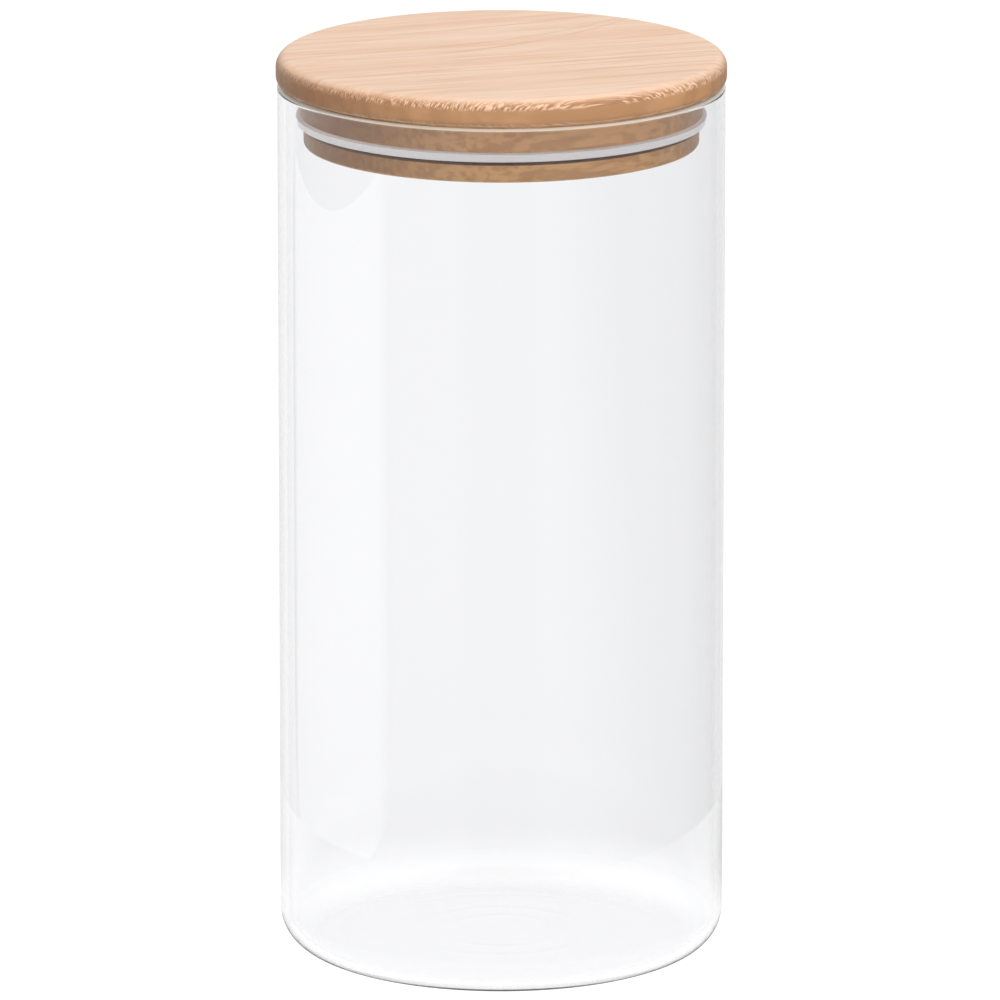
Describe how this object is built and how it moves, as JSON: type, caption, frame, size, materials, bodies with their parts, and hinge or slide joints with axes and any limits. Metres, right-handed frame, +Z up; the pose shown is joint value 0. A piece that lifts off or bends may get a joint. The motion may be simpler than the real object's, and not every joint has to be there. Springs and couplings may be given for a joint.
{
  "type": "food canister",
  "caption": "Tall straight-sided glass food canister with a turned bamboo plug lid and a flared silicone seal ring.",
  "frame": {"origin": "centre of the jar's foot, on the surface that the canister stands on", "axes": "+Z up along the jar's axis, the way the lid lifts off; X and Y are free, because every piece is round"},
  "size_m": [0.1006, 0.1006, 0.205],
  "materials": {
    "clear_glass": "clear, smooth borosilicate glass, fire-polished at the rim",
    "bamboo": "natural blond bamboo, fine sanded and lightly oiled",
    "silicone": "translucent food-grade silicone, satin"
  },
  "bodies": {
    "jar": {"glass_jar": "clear_glass"},
    "seal": {"silicone_seal": "silicone"},
    "lid": {"bamboo_lid": "bamboo"}
  },
  "joints": [
    {"name": "lid_lift", "type": "slide", "parent": "jar", "child": "seal", "axis": [0, 0, 1], "range_m": [0, 0.15]},
    {"name": "lid_turn", "type": "hinge", "parent": "seal", "child": "lid", "pos_m": [0, 0, 0.1987], "axis": [0, 0, 1], "continuous": true}
  ]
}
